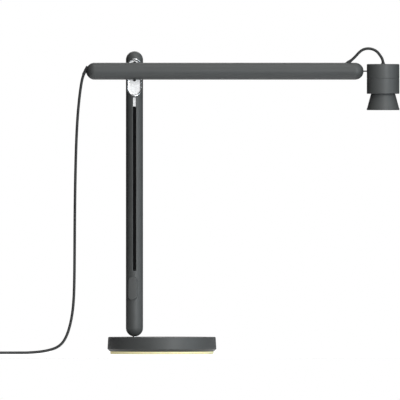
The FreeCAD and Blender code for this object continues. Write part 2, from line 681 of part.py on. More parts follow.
def make_arm():
    wall = ring("arm_blank", size["arm_radius"], arm_bore, arm_right_x - arm_left_x,
                arm_left_x, arm_y, pivot_z, ALONG_X)
    hub_hole = cylinder("arm_hub_hole", size["hub_radius"], 20.0, column_x, arm_y + 2.0, pivot_z, ALONG_Y)
    grub_holes = [cylinder(f"arm_grub_hole{i}", 2.1, 6.0, column_x, y, pivot_z - 16.0)
                  for i, y in enumerate((arm_y - 5.0, arm_y + 5.0))]
    keep(cut("arm_tube", wall, hub_hole, gland("arm_loop_hole", loop_exit, LOOP_WAY),
             cord_way("arm_loop_way", loop_exit, LOOP_WAY), *grub_holes))

    dome = cylinder("rear_keep", 20.0, 20.0, arm_left_x - 20.0, arm_y, pivot_z, ALONG_X)
    shell = common("rear_dome", ball("rear_ball", size["arm_radius"], arm_left_x, arm_y, pivot_z), dome)
    spigot = cylinder("rear_spigot", arm_bore, 10.0, arm_left_x, arm_y, pivot_z, ALONG_X)
    hollow = ball("rear_hollow", 10.8, arm_left_x, arm_y, pivot_z)
    bore = cylinder("rear_bore", 10.8, 12.0, arm_left_x, arm_y, pivot_z, ALONG_X)
    keep(cut("arm_rear_cap", join("rear_blank", shell, spigot), hollow, bore,
             gland("rear_gland_hole", power_exit, POWER_WAY),
             cord_way("rear_cord_way", power_exit, POWER_WAY)))

    tip_ball = ball("front_ball", size["arm_radius"], arm_right_x, arm_y, pivot_z, HALF_TURN)
    tip = common("front_dome", tip_ball,
                 cylinder("front_keep", 20.0, 20.0, arm_right_x, arm_y, pivot_z, ALONG_X))
    plug = cylinder("front_spigot", arm_bore, 7.0, arm_right_x - 7.0, arm_y, pivot_z, ALONG_X)
    well = cylinder("front_well", 10.0, 15.3, arm_right_x - 12.0, arm_y, pivot_z, ALONG_X)
    bush_hole = cylinder("front_bush_hole", 2.4, 20.0, arm_right_x, arm_y, pivot_z, ALONG_X)
    keep(cut("arm_front_cap", join("front_blank", tip, plug), well, bush_hole))
    keep(ring("tip_bush", 2.4, size["axle_radius"] + size["running_gap"], 10.2, arm_right_x + 3.3, arm_y,
              pivot_z, ALONG_X))

    keep(gland("power_gland", power_exit, POWER_WAY))
    keep(gland("loop_gland", loop_exit, LOOP_WAY))
    lead_left, lead_right = arm_left_x + 1.0, arm_right_x - 19.0
    keep(cylinder("arm_lead", 1.5, lead_right - lead_left, lead_left, arm_y, pivot_z + 8.9, ALONG_X))


# ---------------------------------------------------------------- head
def make_head():
    radius, wall = size["head_radius"], size["head_wall"]
    seam, top, low = size["head_seam"], size["head_high"], size["head_low"]
    bevel = 0.45
    cover = turned("cover_blank", [
        (radius - wall, seam), (radius - bevel, seam), (radius, seam + bevel), (radius, top - 0.7),
        (radius - 0.7, top), (0, top), (0, top - 2.6), (radius - wall, top - 2.6),
    ], head_x, arm_y, 0)
    boss = block("cover_boss", (head_x - 24.0, arm_y - 6.5, pivot_z - 6.0),
                 (head_x - 7.0, arm_y + 6.5, top - 2.0))
    axle_hole = cylinder("cover_axle_hole", size["axle_radius"], 25.0, head_x - 30.0, arm_y,
                         pivot_z, ALONG_X)
    gland_hole = cylinder("cover_gland_hole", 3.2, 10.0, head_x, arm_y, top - 5.0)
    keep(cut("head_cover", join("cover_bossed", cover, boss), axle_hole, gland_hole))

    keep(turned("head_body", [
        (18.5, low), (radius - 0.5, low), (radius, low + 0.5),
        (radius, seam - bevel), (radius - bevel, seam),
        (radius - wall - 0.05, seam), (radius - wall - 0.05, seam + 4.0),
        (22.6, seam + 4.0), (22.6, low + 4.7), (18.5, low + 4.7),
    ], head_x, arm_y, 0))

    sink = turned("sink_blank", [
        (1.6, low + 4.7), (22.4, low + 4.7), (22.4, low + 18.0), (1.6, low + 18.0),
    ], head_x, arm_y, 0)
    fin, gap = 1.6, 2.6
    grooves = [
        block(f"sink_groove{i}", (head_x - 25.0, arm_y + i * (fin + gap) - gap / 2, low + 8.2),
              (head_x + 25.0, arm_y + i * (fin + gap) + gap / 2, low + 20.0))
        for i in range(-5, 6)
    ]
    keep(cut("heat_sink", sink, *grooves))
    keep(ring("led_board", 16.0, 1.6, 1.6, head_x, arm_y, low + 3.1))
    keep(turned("led_chip", [(0, 0), (6.5, 0), (6.5, 0.5), (5.6, 1.2), (0, 1.2)], head_x, arm_y, low + 3.1,
                FreeCAD.Rotation(Vec(1, 0, 0), 180)))
    keep(cylinder("head_lead", 1.3, top - 7.0 - (low + 4.7), head_x, arm_y, low + 4.7))
    keep(turned("head_gland", [
        (0, 0), (3.2, 0), (3.2, 5.0), (3.8, 5.0), (3.8, 5.5), (3.3, 6.0), (0, 6.0),
    ], head_x, arm_y, top - 5.0))
    axle_left, axle_right = arm_right_x - 2.0, head_x - 8.0
    keep(cylinder("head_axle", size["axle_radius"], axle_right - axle_left, axle_left, arm_y,
                  pivot_z, ALONG_X))
    keep(ring("axle_collar", 3.6, size["axle_radius"], 3.4, arm_right_x - 0.2, arm_y, pivot_z, ALONG_X))
    make_shade()


def make_shade():
    """The conical shade with its reflector, lens and ring."""
    low, high = size["shade_low"], size["head_low"]
    neck, rim, wall = size["shade_neck_radius"], size["shade_rim_radius"], size["shade_wall"]
    lip, step = 2.8, 0.5
    keep(turned("cone_shade", [
        (rim - wall, low), (rim - 0.3, low), (rim, low + 0.3), (rim, low + lip), (rim - step, low + lip),
        (neck, high - 0.6), (neck - 0.6, high), (18.4, high), (18.4, high + 4.4), (16.6, high + 4.4),
        (16.6, high), (neck - wall, high - 2.2), (rim - wall - 0.4, low + lip),
    ], head_x, arm_y, 0))
    lens_z = size["lens_level"]
    keep(turned("lens", [(0, 0), (20.6, 0), (20.6, 2.0), (0, 2.0)], head_x, arm_y, lens_z))
    keep(turned("reflector", [
        (19.6, 0), (20.2, 0), (17.8, 10.2), (8.4, 13.4), (7.8, 12.9), (17.2, 9.8),
    ], head_x, arm_y, lens_z + 2.0))
    keep(turned("lens_ring", [
        (19.2, 0), (22.2, 0), (22.0, 1.5), (21.6, 3.5), (20.6, 3.5), (20.6, 1.5), (19.2, 1.5),
    ], head_x, arm_y, lens_z - 1.5))


# ---------------------------------------------------------------- cords
floor = 2.3                        # height of the cord's middle where it lies on the table


def power_route():
    """From the left dome's gland down to the table and along it to the coil."""
    coil_side = -size["coil_y"].value - size["coil_middle"].value - 6.75
    coil_x = -size["coil_x"].value
    plane = arm_y.value
    return [
        tuple(power_exit),
        tuple(power_exit + POWER_WAY * 9.0),
        (-133.3, plane, 444.5),
        (-136.6, plane, 419.0),
        (-139.4, plane + 0.2, 387.0),
        (-141.4, plane + 0.6, 345.0),
        (-142.8, plane + 1.2, 290.0),
        (-143.6, plane + 1.8, 232.0),
        (-143.9, plane + 2.3, 175.0),
        (-144.3, plane + 2.6, 122.0),
        (-145.6, plane + 2.6, 82.0),
        (-150.0, plane + 2.2, 52.0),
        (-157.5, plane + 1.6, 27.5),
        (-168.5, plane + 0.6, 12.5),
        (-188.0, plane - 1.0, 5.4),
        (-215.0, plane - 3.6, floor),
        (-243.0, plane - 8.6, floor),
        (-270.0, plane - 15.6, floor),
        (-290.0, coil_side - 0.3, floor + 0.4),
        (coil_x, coil_side + 0.1, floor + 0.9),
    ]


def tail_route():
    """From the coil to the adapter's strain relief."""
    x = -size["coil_x"].value - size["coil_middle"].value - 6.75
    y = -size["coil_y"].value
    return [(x, y, 7.9), (x - 0.2, y + 9.5, 8.1), (x + 2.0, y + 19.0, 9.0), (x + 2.0, y + 28.0, 9.0)]


def loop_route():
    """From the arm's top over to the head's top."""
    plane, top = arm_y.value, size["head_high"].value + 1.0
    x = head_x.value
    return [
        tuple(loop_exit),
        tuple(loop_exit + LOOP_WAY * 8.8),
        (x - 36.4, plane, top + 22.2),
        (x - 23.9, plane, top + 25.4),
        (x - 11.4, plane, top + 21.5),
        (x - 4.3, plane, top + 12.7),
        (x - 0.4, plane, top + 5.8),
        (x, plane, top),
    ]


def make_cords():
    radius = size["cord_radius"].value
    keep(cord_tube("power_cord", power_route(), radius))
    coil_outer = size["coil_middle"] + 9.0
    coil_inner = size["coil_middle"] - 9.0
    keep(turned("cord_coil", [
        (coil_inner + 1.6, 0), (coil_outer - 1.6, 0), (coil_outer, 2.2), (coil_outer, 8.2),
        (coil_outer - 2.0, 10.4), (coil_inner + 2.0, 10.4), (coil_inner, 8.2), (coil_inner, 2.2),
    ], -size["coil_x"], -size["coil_y"], 0))
    keep(cord_tube("cord_tail", tail_route(), radius))
    keep(cord_tube("loop_cord", loop_route(), radius))
    make_adapter(Vec(*tail_route()[-1]))


def make_adapter(entry):
    """The plug-in power supply at the cord's far end, lying on its side."""
    relief_length, half, length, height, corner = 20.0, 17.0, 44.0, 26.0, 4.0
    keep(aim("adapter_relief", 2.7, 4.2, relief_length, entry, Vec(0, 1, 0)))
    face = entry.y + relief_length
    middle = entry.x + 4.0
    box = block("adapter_blank", (middle - half, face, 0), (middle + half, face + length, height))
    doc.recompute()
    rounded = doc.addObject("Part::Fillet", "adapter_body")
    rounded.Base = box
    rounded.Edges = [(i, corner, corner) for i, edge in enumerate(box.Shape.Edges, 1)
                     if abs(edge.Vertexes[0].Y - edge.Vertexes[-1].Y) > 1.0]
    keep(rounded)
    pins = [cylinder(f"adapter_pin{i}", 2.0, 17.0, middle + side * 9.5, face + length, height / 2, ALONG_Y)
            for i, side in enumerate((-1, 1))]
    keep(join("adapter_pins", *pins))


def make_dimmer_lead():
    """The thin lead from the dimmer board up the column and through the elbow's shaft."""
    x, y = column_x.value, size["lead_back"].value
    side = x + size["lead_side"].value
    low = size["button_level"].value + 10.0
    level = pivot_z.value
    keep(cord_tube("dimmer_lead", [
        (side, y, low), (side, y, level - 9.0), (x, y + 0.4, level), (x, arm_y.value - 7.0, level),
    ], 0.9))


# ---------------------------------------------------------------- the whole lamp
make_base()
make_swivel()
make_column()
make_cup()
make_strut()
make_dimmer()
make_dimmer_lead()
make_elbow()
make_arm()
make_head()
make_cords()
doc.recompute()

for obj in doc.Objects:
    if "Invalid" in obj.State or "Error" in obj.State:
        raise RuntimeError(f"{obj.Label} failed: {obj.State}")
for obj in pieces:
    if obj.Shape.isNull() or not obj.Shape.isValid() or not obj.Shape.Solids:
        raise RuntimeError(f"{obj.Label} has no valid solid")

os.makedirs("parts", exist_ok=True)
for obj in pieces:
    obj.Shape.exportStep(f"parts/{obj.Label}.step")
print(len(pieces), "sub-parts")
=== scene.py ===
import json
import math

import bpy
import numpy as np
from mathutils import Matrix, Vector


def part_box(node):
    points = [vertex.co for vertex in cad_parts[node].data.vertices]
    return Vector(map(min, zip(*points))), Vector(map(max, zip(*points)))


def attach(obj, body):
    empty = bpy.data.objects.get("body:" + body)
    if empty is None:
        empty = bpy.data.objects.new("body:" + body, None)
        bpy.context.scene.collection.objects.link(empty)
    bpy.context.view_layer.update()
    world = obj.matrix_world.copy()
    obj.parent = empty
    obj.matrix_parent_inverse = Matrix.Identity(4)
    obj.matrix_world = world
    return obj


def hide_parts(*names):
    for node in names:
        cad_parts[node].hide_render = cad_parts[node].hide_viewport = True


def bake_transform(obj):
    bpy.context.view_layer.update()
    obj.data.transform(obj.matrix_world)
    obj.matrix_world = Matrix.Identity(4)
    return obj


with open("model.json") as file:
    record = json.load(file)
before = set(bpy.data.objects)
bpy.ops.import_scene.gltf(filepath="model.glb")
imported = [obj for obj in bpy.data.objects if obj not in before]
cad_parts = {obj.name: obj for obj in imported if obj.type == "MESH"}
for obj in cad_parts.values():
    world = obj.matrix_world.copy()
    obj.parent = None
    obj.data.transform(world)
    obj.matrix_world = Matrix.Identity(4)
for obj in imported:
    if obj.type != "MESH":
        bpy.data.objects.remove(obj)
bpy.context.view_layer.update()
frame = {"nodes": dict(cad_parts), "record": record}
nodes = frame["nodes"]
scene = bpy.context.scene
MM = 0.001

# ---------------------------------------------------------------- camera
# A level front view from so far off that it is almost free of perspective.
VIEW_WIDTH = 0.660
VIEW_CENTRE_X, VIEW_CENTRE_Z = 0.0629, 0.2541
PLANE_BEFORE = 0.02         # the plane that is VIEW_WIDTH wide lies this far in front of the column
CAMERA_LENS = 1600.0
CAMERA_SENSOR = 36.0
camera_data = bpy.data.cameras.new("camera")
camera_data.lens = CAMERA_LENS
camera_data.sensor_width = CAMERA_SENSOR
camera_data.clip_start = 1.0
camera_data.clip_end = 100.0
camera = bpy.data.objects.new("camera", camera_data)
scene.collection.objects.link(camera)
camera.location = (VIEW_CENTRE_X, -VIEW_WIDTH * CAMERA_LENS / CAMERA_SENSOR - PLANE_BEFORE, VIEW_CENTRE_Z)
camera.rotation_euler = (math.radians(90), 0, 0)
scene.camera = camera
scene.view_settings.view_transform = "Standard"


# ---------------------------------------------------------------- mesh building
def mesh_piece(name, points, faces, sharp_deg=38.0):
    """A mesh object from points in metres, smooth but for its sharp edges."""
    data = bpy.data.meshes.new(name)
    data.from_pydata([tuple(p) for p in points], [], faces)
    data.validate()
    data.update()
    data.shade_smooth()
    data.set_sharp_from_angle(angle=math.radians(sharp_deg))
    obj = bpy.data.objects.new(name, data)
    scene.collection.objects.link(obj)
    return obj


def axes_for(way):
    """Two unit vectors square to a direction and to each other."""
    way = Vector(way).normalized()
    side = way.cross(Vector((0, 1, 0)) if abs(way.y) < 0.9 else Vector((0, 0, 1))).normalized()
    return way, side, way.cross(side)


def loft(name, rings, closed=False, sharp_deg=38.0):
    """A skin over rings of equally many points, with its two ends capped unless it closes on itself."""
    count = len(rings[0])
    points = [p for ring in rings for p in ring]
    faces = []
    last = len(rings) if closed else len(rings) - 1
    for i in range(last):
        a, b = i * count, (i + 1) % len(rings) * count
        for k in range(count):
            n = (k + 1) % count
            faces.append((a + k, a + n, b + n, b + k))
    if not closed:
        faces.append(tuple(range(count))[::-1])
        faces.append(tuple((len(rings) - 1) * count + k for k in range(count)))
    return mesh_piece(name, points, faces, sharp_deg=sharp_deg)


def lathe(name, outline, base, way=(0, 0, 1), sides=64, shape=None, sharp_deg=38.0):
    """A turned solid: (radius, height) points in mm from one end of the axis to the other. shape may change a
    ring's radius by (ring index, angle)."""
    way, side, up = axes_for(way)
    base = Vector(base)
    rings = []
    for index, (radius, height) in enumerate(outline):
        ring = []
        for k in range(sides):
            angle = 2 * math.pi * k / sides
            r = (shape(index, angle, radius) if shape else radius) * MM
            ring.append(base + way * height * MM + side * math.cos(angle) * r + up * math.sin(angle) * r)
        rings.append(ring)
    return loft(name, rings, sharp_deg=sharp_deg)


def tube(name, line, radius, sides=20):
    """A round tube along a line of points, without twist."""
    line = [Vector(p) for p in line]
    ways = [(b - a).normalized() for a, b in zip(line, line[1:])]
    ways = [ways[0]] + [(a + b).normalized() for a, b in zip(ways, ways[1:])] + [ways[-1]]
    _, side, _ = axes_for(ways[0])
    rings = []
    for p, way in zip(line, ways):
        side = (side - way * side.dot(way)).normalized()
        up = way.cross(side)
        rings.append([
            p + (side * math.cos(a) + up * math.sin(a)) * radius
            for a in (2 * math.pi * k / sides for k in range(sides))
        ])
    return loft(name, rings)


def smooth_line(control, resolution):
    """The points of the smooth line that given control points make."""
    curve = bpy.data.curves.new("route", "CURVE")
    curve.dimensions = "3D"
    spline = curve.splines.new("NURBS")
    spline.points.add(len(control) - 1)
    for point, place in zip(spline.points, control):
        point.co = (*place, 1.0)
    spline.order_u = 3
    spline.use_endpoint_u = True
    spline.resolution_u = resolution
    carrier = bpy.data.objects.new("route", curve)
    data = bpy.data.meshes.new_from_object(carrier)
    line = [v.co.copy() for v in data.vertices]
    bpy.data.meshes.remove(data)
    bpy.data.objects.remove(carrier)
    bpy.data.curves.remove(curve)
    return line


# ---------------------------------------------------------------- cords
CORD_RADIUS = 2.25 * MM
ARM_Y = -30.55
POWER_EXIT = Vector((-125.4, ARM_Y, 468.1)) * MM
POWER_WAY = Vector((-0.50, 0, -0.866)).normalized()
LOOP_EXIT = Vector((309.7, ARM_Y, 482.4)) * MM
LOOP_WAY = Vector((0.80, 0, 0.60))
HEAD_ENTRY = Vector((364.9, ARM_Y, 479.3)) * MM
COIL_X, COIL_Y = -306.0, -20.0
COIL_LOW, COIL_HIGH = 3.25, 7.9        # height of the cord's middle in the coil's two layers
COIL_RADII = (32.0, 27.5, 23.0, 18.5)
POINTS_A_TURN = 16


def eased(t):
    """0 to 1 with a soft start and end."""
    t = min(1.0, max(0.0, t))
    return t * t * (3 - 2 * t)


def coil_points():
    """Four turns inward on the table, a climb, four turns outward on top, and a quarter turn to the tail."""
    radii = COIL_RADII + COIL_RADII[::-1]
    step_start, step_long = 240.0, 110.0    # degrees of each turn at which it steps to the next radius
    bulge = 1.6                             # how far the climb leans in, in mm
    sharpen = 1 / (0.75 + 0.25 * math.cos(2 * math.pi / POINTS_A_TURN))
    turns = len(radii)
    points = []
    for i in range(1, int((turns + 0.25) * POINTS_A_TURN) + 1):
        turned = 360.0 * i / POINTS_A_TURN
        lap = int(turned // 360)
        share = eased((turned - lap * 360 - step_start) / step_long)
        here = radii[min(lap, turns - 1)]
        after = radii[min(lap + 1, turns - 1)]
        radius = here + (after - here) * share
        height = COIL_LOW if lap < len(COIL_RADII) else COIL_HIGH
        if lap == len(COIL_RADII) - 1:
            height += (COIL_HIGH - COIL_LOW) * share
            radius -= bulge * math.sin(math.pi * share)
        angle = math.radians(-90 - turned)
        reach = radius * sharpen
        points.append((COIL_X + reach * math.cos(angle), COIL_Y + reach * math.sin(angle), height))
    return points


FLOOR = 2.3         # height of the cord's middle where it lies on the table
# Route points in mm: from the arm's way out to the supply, and from the arm's top over to the head's.
power_control = [
    (-125.4, ARM_Y, 468.1),
    (-129.9, ARM_Y, 460.306),
    (-133.3, ARM_Y, 444.5),
    (-136.6, ARM_Y, 419.0),
    (-139.4, ARM_Y + 0.2, 387.0),
    (-141.4, ARM_Y + 0.6, 345.0),
    (-142.8, ARM_Y + 1.2, 290.0),
    (-143.6, ARM_Y + 1.8, 232.0),
    (-143.9, ARM_Y + 2.3, 175.0),
    (-144.3, ARM_Y + 2.6, 122.0),
    (-145.6, ARM_Y + 2.6, 82.0),
    (-150.0, ARM_Y + 2.2, 52.0),
    (-157.5, ARM_Y + 1.6, 27.5),
    (-168.5, ARM_Y + 0.6, 12.5),
    (-188.0, ARM_Y - 1.0, 5.4),
    (-215.0, ARM_Y - 3.6, FLOOR),
    (-243.0, ARM_Y - 8.6, FLOOR),
    (-270.0, ARM_Y - 15.6, FLOOR),
    (-290.0, -52.3, FLOOR + 0.4),
    (COIL_X, -52.2, COIL_LOW),
    *coil_points(),
    (-338.4, -10.5, 8.1),
    (-336.4, -1.0, 9.0),
    (-336.0, 8.0, 9.0),
]
loop_control = [
    (309.7, ARM_Y, 482.4),
    (316.74, ARM_Y, 487.68),
    (328.5, ARM_Y, 501.5),
    (341.0, ARM_Y, 504.7),
    (353.5, ARM_Y, 500.8),
    (360.6, ARM_Y, 492.0),
    (364.5, ARM_Y, 485.1),
    (364.9, ARM_Y, 479.3),
]
power_line = smooth_line([Vector(p) * MM for p in power_control], 6)
loop_line = smooth_line([Vector(p) * MM for p in loop_control], 14)

# ---------------------------------------------------------------- material building
def node(tree, kind, inputs=(), **settings):
    """A shader node whose inputs are either linked sockets or constants."""
    made = tree.nodes.new(kind)
    for key, value in settings.items():
        setattr(made, key, value)
    for key, value in dict(inputs).items():
        if isinstance(value, bpy.types.NodeSocket):
            tree.links.new(value, made.inputs[key])
        else:
            made.inputs[key].default_value = value
    return made


def math_node(tree, operation, a, b=0.0, clamp=False):
    return node(tree, "ShaderNodeMath", {0: a, 1: b}, operation=operation, use_clamp=clamp).outputs[0]


def remap(tree, value, low, high, to_low, to_high):
    return node(tree, "ShaderNodeMapRange", {0: value, 1: low, 2: high, 3: to_low, 4: to_high}).outputs[0]


def mixed(tree, share, a, b):
    return node(tree, "ShaderNodeMix", {0: share, 6: a, 7: b}, data_type="RGBA").outputs[2]


def noise(tree, place, scale, detail=3.0, rough=0.55):
    """Noise from 0 to 1 whose features are about 1/scale metres across."""
    return node(tree, "ShaderNodeTexNoise", {
        "Vector": place, "Scale": scale, "Detail": detail, "Roughness": rough,
    }).outputs[0]


def stretched(tree, place, scale):
    return node(tree, "ShaderNodeMapping", {"Vector": place, "Scale": scale}).outputs[0]


def bumped(tree, height, depth, normal=None):
    """A normal that follows a height map; depth is in metres."""
    inputs = {"Height": height, "Distance": depth, "Strength": 1.0}
    if normal is not None:
        inputs["Normal"] = normal
    return node(tree, "ShaderNodeBump", inputs).outputs[0]


def shaded(colour, share):
    """A colour made lighter or darker, with alpha."""
    return (colour[0] * share, colour[1] * share, colour[2] * share, 1.0)


def finish_of(name, colour, roughness, metallic=0.0, grain=(2600.0, 0.00003), wave=None, mottle=0.07,
              spread=0.07, wear=0.0, wear_colour=None, edge=0.0004, streaks=None, **sockets):
    """A material with large and small colour variation, grain, uneven gloss and lightly worn edges.

    grain is (features per metre, depth in metres); wave is the same for a slower unevenness; streaks is a
    (x, y, z) stretch that draws tool marks; wear is how much of an edge has rubbed to wear_colour."""
    made = bpy.data.materials.new(name)
    made.use_nodes = True
    tree = made.node_tree
    bsdf = tree.nodes["Principled BSDF"]
    place = tree.nodes.new("ShaderNodeTexCoord").outputs["Object"]
    broad = noise(tree, place, 28.0, 4.0, 0.6)
    fine = noise(tree, place, grain[0], 2.0)
    patches = remap(tree, broad, 0.3, 0.7, 0.0, 1.0)
    shade = mixed(tree, patches, shaded(colour, 1 - mottle), shaded(colour, 1 + mottle))
    speck = remap(tree, fine, 0.35, 0.65, 0.0, 1.0)
    shade = mixed(tree, math_node(tree, "MULTIPLY", speck, 0.35), shade, shaded(colour, 1 + 2 * mottle))
    gloss = remap(tree, broad, 0.3, 0.7, roughness - spread, roughness + spread)
    rim = tree.nodes.new("ShaderNodeBevel")
    rim.samples = 4
    rim.inputs["Radius"].default_value = edge
    normal = rim.outputs[0]
    if wear:
        flat = tree.nodes.new("ShaderNodeNewGeometry").outputs["Normal"]
        dot = node(tree, "ShaderNodeVectorMath", {0: normal, 1: flat}, operation="DOT_PRODUCT")
        same = dot.outputs["Value"]
        near_edge = remap(tree, same, 0.995, 0.90, 0.0, 1.0)
        patchy = remap(tree, noise(tree, place, 420.0, 5.0, 0.7), 0.42, 0.62, 0.25, 1.0)
        rubbed = math_node(tree, "MULTIPLY", math_node(tree, "MULTIPLY", near_edge, patchy), wear, clamp=True)
        shade = mixed(tree, rubbed, shade, (*(wear_colour or colour), 1.0))
        gloss = math_node(tree, "SUBTRACT", gloss, math_node(tree, "MULTIPLY", rubbed, 0.12))
    if wave:
        normal = bumped(tree, noise(tree, place, wave[0], 2.0), wave[1], normal)
    if streaks:
        marks = noise(tree, stretched(tree, place, streaks), 1.0, 4.0, 0.65)
        drawn = remap(tree, marks, 0.35, 0.65, 0.0, 0.35)
        shade = mixed(tree, drawn, shade, shaded(colour, 1 - 2.5 * mottle))
        gloss = math_node(tree, "ADD", gloss, remap(tree, marks, 0.3, 0.7, -0.04, 0.05))
        normal = bumped(tree, marks, grain[1], normal)
    normal = bumped(tree, fine, grain[1], normal)
    tree.links.new(shade, bsdf.inputs["Base Color"])
    tree.links.new(gloss, bsdf.inputs["Roughness"])
    tree.links.new(normal, bsdf.inputs["Normal"])
    bsdf.inputs["Metallic"].default_value = metallic
    for key, value in sockets.items():
        bsdf.inputs[key.replace("_", " ")].default_value = value
    return made


def object_place(tree):
    """The position socket that a finish already reads."""
    return next(n for n in tree.nodes if n.bl_idname == "ShaderNodeTexCoord").outputs["Object"]


def cell_bump(made, scale, depth):
    """Adds small cells, as foam or a prismatic sheet has, under the material's grain."""
    tree = made.node_tree
    bsdf = tree.nodes["Principled BSDF"]
    link = bsdf.inputs["Normal"].links[0]
    place = object_place(tree)
    cells = node(tree, "ShaderNodeTexVoronoi", {"Vector": place, "Scale": scale}, feature="F1")
    normal = bumped(tree, cells.outputs["Distance"], depth, link.from_socket)
    tree.links.new(normal, bsdf.inputs["Normal"])
    return made


def woven(made, scale, depth):
    """Adds two crossing sets of ribs."""
    tree = made.node_tree
    bsdf = tree.nodes["Principled BSDF"]
    link = bsdf.inputs["Normal"].links[0]
    settings = {"Vector": object_place(tree), "Scale": scale, "Distortion": 0.6}
    ribs = [node(tree, "ShaderNodeTexWave", settings, bands_direction=way).outputs[1] for way in "XZ"]
    cross = math_node(tree, "MULTIPLY", ribs[0], ribs[1])
    tree.links.new(bumped(tree, cross, depth, link.from_socket), bsdf.inputs["Normal"])
    return made


COAT = (0.088, 0.092, 0.091)
finishes = {
    "powder_coat": finish_of(
        "powder_coat", COAT, 0.48, grain=(3200.0, 0.000022), wave=(520.0, 0.00006), mottle=0.05,
        spread=0.05, wear=0.5, wear_colour=(0.16, 0.168, 0.17), Specular_IOR_Level=0.42),
    # The button's base colour is painted about a quarter lighter than the coat: a painted highlight for its
    # face, which catches more light.
    "button_plastic": finish_of(
        "button_plastic", (0.112, 0.116, 0.115), 0.42, grain=(3000.0, 0.000018), mottle=0.05, spread=0.04,
        wear=0.4, wear_colour=(0.17, 0.176, 0.178)),
    # A painted glow: the foam is given a faint emission so that it looks lit, though it is no lamp.
    "foot_foam": cell_bump(finish_of(
        "foot_foam", (0.86, 0.81, 0.50), 0.86, grain=(1500.0, 0.0001), mottle=0.06,
        Subsurface_Weight=0.25, Subsurface_Scale=0.004,
        Emission_Color=(1.0, 0.9, 0.5, 1.0), Emission_Strength=0.42), 1300.0, 0.00022),
    "ballast_iron": finish_of(
        "ballast_iron", (0.16, 0.155, 0.15), 0.62, 0.8, grain=(900.0, 0.00014), mottle=0.14,
        wear=0.6, wear_colour=(0.34, 0.33, 0.32)),
    "polished_metal": finish_of(
        "polished_metal", (0.9, 0.905, 0.91), 0.27, 0.92, grain=(2400.0, 0.000003), mottle=0.02,
        spread=0.03, streaks=(60.0, 60.0, 2600.0), wear=0.3, wear_colour=(0.93, 0.93, 0.94)),
    "black_steel": finish_of(
        "black_steel", (0.012, 0.012, 0.013), 0.5, 0.2, grain=(2600.0, 0.00001), mottle=0.12,
        wear=0.5, wear_colour=(0.1, 0.1, 0.1), Specular_IOR_Level=0.25),
    "bright_steel": finish_of(
        "bright_steel", (0.60, 0.60, 0.61), 0.26, 1.0, grain=(2400.0, 0.000005), mottle=0.04,
        streaks=(40.0, 40.0, 3200.0), wear=0.4, wear_colour=(0.8, 0.8, 0.8)),
    "bronze": finish_of(
        "bronze", (0.50, 0.33, 0.14), 0.42, 1.0, grain=(2600.0, 0.00003), mottle=0.12,
        wear=0.4, wear_colour=(0.7, 0.5, 0.25)),
    "machined_aluminium": finish_of(
        "machined_aluminium", (0.66, 0.67, 0.68), 0.34, 1.0, grain=(2200.0, 0.000006), mottle=0.05,
        streaks=(3000.0, 30.0, 30.0), wear=0.3, wear_colour=(0.85, 0.85, 0.86)),
    "black_plastic": finish_of(
        "black_plastic", (0.022, 0.022, 0.024), 0.44, grain=(2300.0, 0.00003), mottle=0.1,
        wear=0.5, wear_colour=(0.06, 0.06, 0.062)),
    "circuit_board": finish_of(
        "circuit_board", (0.62, 0.64, 0.62), 0.34, grain=(1200.0, 0.00001), mottle=0.05,
        streaks=(500.0, 90.0, 500.0)),
    "led_phosphor": finish_of(
        "led_phosphor", (0.85, 0.62, 0.09), 0.3, grain=(1800.0, 0.00002), mottle=0.08,
        Subsurface_Weight=0.3, Subsurface_Scale=0.002),
    "frosted_lens": cell_bump(finish_of(
        "frosted_lens", (0.86, 0.88, 0.88), 0.42, grain=(2600.0, 0.00004), mottle=0.03,
        Transmission_Weight=0.55, IOR=1.49), 900.0, 0.0001),
    "white_reflector": finish_of(
        "white_reflector", (0.84, 0.84, 0.83), 0.3, grain=(1500.0, 0.00001), mottle=0.03),
    "black_rubber": finish_of(
        "black_rubber", (0.022, 0.022, 0.023), 0.62, grain=(2600.0, 0.00003), mottle=0.12, Sheen_Weight=0.15),
    "cord_jacket": finish_of(
        "cord_jacket", (0.02, 0.021, 0.021), 0.55, grain=(1900.0, 0.000025), wave=(240.0, 0.00007),
        mottle=0.14, spread=0.08),
    "plug_brass": finish_of(
        "plug_brass", (0.72, 0.70, 0.66), 0.24, 1.0, grain=(2400.0, 0.000006), mottle=0.05,
        streaks=(60.0, 2600.0, 60.0), wear=0.5, wear_colour=(0.75, 0.58, 0.28)),
}
node_slots = {row["node"]: row["material_slot"] for row in frame["record"]["subparts"]}
for kept in nodes.values():
    kept.data.materials.clear()
    kept.data.materials.append(finishes[node_slots[kept.name]])


def dress(obj, body, slot, *replaced):
    """Gives a new piece its finish, its body and the CAD nodes that it stands for."""
    obj.data.materials.append(finishes[slot])
    if body:
        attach(obj, body)
    if replaced:
        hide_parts(*replaced)
    return obj


# ---------------------------------------------------------------- pieces
supply_cord = dress(tube("supply_cord", power_line, CORD_RADIUS), None, "cord_jacket",
                    "power_cord", "cord_coil", "cord_tail")
loop_lead = dress(tube("loop_lead", loop_line, CORD_RADIUS, 28), None, "cord_jacket", "loop_cord")


SLICE = 0.25                # mm between the rings of a sleeve
GROOVE_HALF = 0.45          # half the width of a groove cut into one


def sleeve(name, start, way, outline, ribs, depth, body="arm", replaced=()):
    """A tapered rubber sleeve; ribs are the heights of the rings cut into it."""
    dense = []
    for (r0, h0), (r1, h1) in zip(outline, outline[1:]):
        count = max(1, int(abs(h1 - h0) / SLICE))
        for i in range(count):
            t = i / count
            dense.append((r0 + (r1 - r0) * t, h0 + (h1 - h0) * t))
    dense.append(outline[-1])
    grooved = []
    for radius, height in dense:
        near = min(abs(height - rib) for rib in ribs)
        if near < GROOVE_HALF and radius > 0.5:
            radius -= depth * (0.5 + 0.5 * math.cos(math.pi * near / GROOVE_HALF))
        grooved.append((radius, height))
    made = lathe(name, grooved, start, way, 40, sharp_deg=60.0)
    return dress(made, body, "black_rubber", *replaced)


